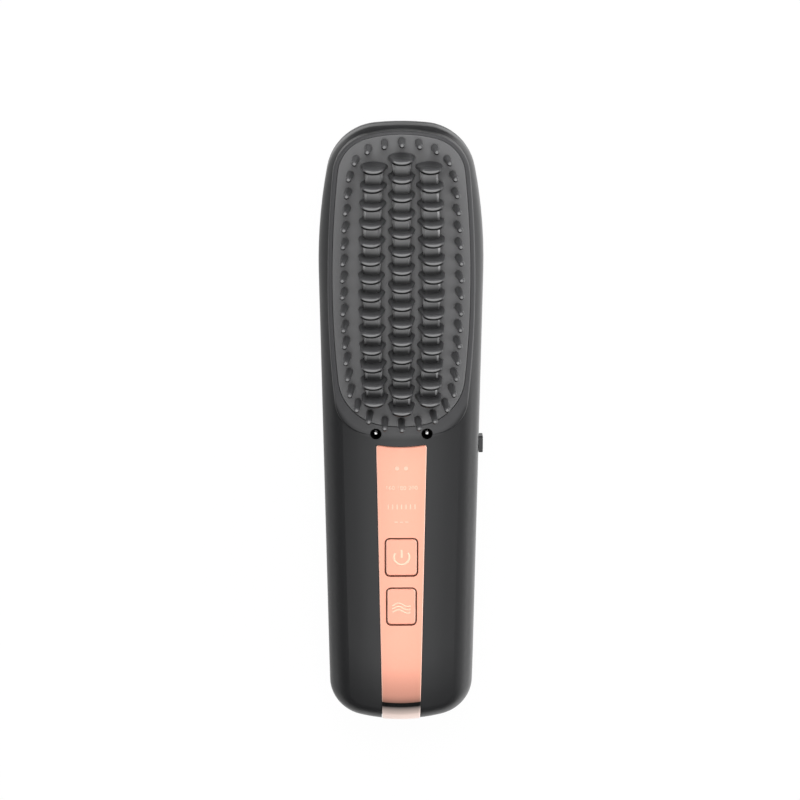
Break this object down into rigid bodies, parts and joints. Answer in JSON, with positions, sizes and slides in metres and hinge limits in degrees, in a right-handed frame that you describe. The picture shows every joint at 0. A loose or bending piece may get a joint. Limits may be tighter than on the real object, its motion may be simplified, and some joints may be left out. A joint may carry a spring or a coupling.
{
  "type": "hot comb",
  "caption": "Cordless hair-straightening comb with a barrel-crowned heated head, guard teeth and pins, a slim front panel with push buttons, ion outlets and a side slide switch.",
  "frame": {"origin": "in the flat of the back, half way along the casing", "axes": "the comb lies on its back: +Z is the way the teeth point, +Y runs from the handle to the head, the side switch is on +X"},
  "size_m": [0.0552, 0.2103, 0.0391],
  "materials": {
    "casing": "fine satin moulding, dark grey",
    "casing_back": "fine satin moulding, dark grey",
    "steel": "zinc-plated steel",
    "plug_rubber": "soft moulded plug",
    "comb_plate": "satin heat-resistant plastic",
    "guard_pins": "satin nylon",
    "heater_rail": "glossy glaze on aluminium",
    "guard_teeth": "satin heat-resistant plastic",
    "spreader": "cast and machined",
    "heating_element": "white ceramic strip",
    "insulation": "ceramic-fibre felt",
    "heater_tray": "glass-filled heat-resistant plastic",
    "fuse": "ceramic body",
    "sensor": "glass bead",
    "outlet": "black insert",
    "needle": "ground steel",
    "generator": "potted module",
    "front_panel": "pearl rose-gold lacquer",
    "buttons": "pearl rose-gold lacquer",
    "switch_parts": "black nylon",
    "lens": "frosted light guide",
    "led": "white LED package",
    "circuit_board": "glass-fibre board with solder mask",
    "cell_wrap": "shrink-wrapped cell",
    "nickel": "nickel strip",
    "cradle": "moulded plastic",
    "socket_steel": "drawn steel shell",
    "lock_knob": "satin moulding with grip grooves"
  },
  "bodies": {
    "casing": {"back_shell": "casing_back", "battery_cell_left": "cell_wrap", "battery_cell_right": "cell_wrap", "battery_cradle": "cradle", "battery_tabs": "nickel", "case_screws": "steel", "charge_board": "circuit_board", "charge_socket": "socket_steel", "comb_plate": "comb_plate", "front_panel": "front_panel", "front_shell": "casing", "guard_pins": "guard_pins", "guard_teeth_centre": "guard_teeth", "guard_teeth_left": "guard_teeth", "guard_teeth_right": "guard_teeth", "heat_spreader": "spreader", "heater_rail_centre": "heater_rail", "heater_rail_left": "heater_rail", "heater_rail_right": "heater_rail", "heater_screws": "steel", "heater_tray": "heater_tray", "heating_element": "heating_element", "indicator_leds": "led", "indicator_lenses": "lens", "insulation_pad": "insulation", "ion_generator": "generator", "ion_needle_left": "needle", "ion_needle_right": "needle", "ion_outlet_left": "outlet", "ion_outlet_right": "outlet", "lock_switch": "switch_parts", "main_board": "circuit_board", "power_switch": "switch_parts", "screw_plugs": "plug_rubber", "temperature_sensor": "sensor", "thermal_fuse": "fuse", "wave_switch": "switch_parts"},
    "power_button": {"power_button": "buttons"},
    "wave_button": {"wave_button": "buttons"},
    "lock_switch": {"lock_knob": "lock_knob", "lock_slider": "switch_parts"}
  },
  "joints": [
    {"name": "power_press", "type": "slide", "parent": "casing", "child": "power_button", "axis": [0, 0, -1], "range_m": [0, 0.0005], "stiffness_N_per_m": 1500, "springref_m": -0.0004},
    {"name": "wave_press", "type": "slide", "parent": "casing", "child": "wave_button", "axis": [0, 0, -1], "range_m": [0, 0.0005], "stiffness_N_per_m": 1500, "springref_m": -0.0004},
    {"name": "lock_slide", "type": "slide", "parent": "casing", "child": "lock_switch", "axis": [0, 1, 0], "range_m": [0, 0.0025]}
  ]
}
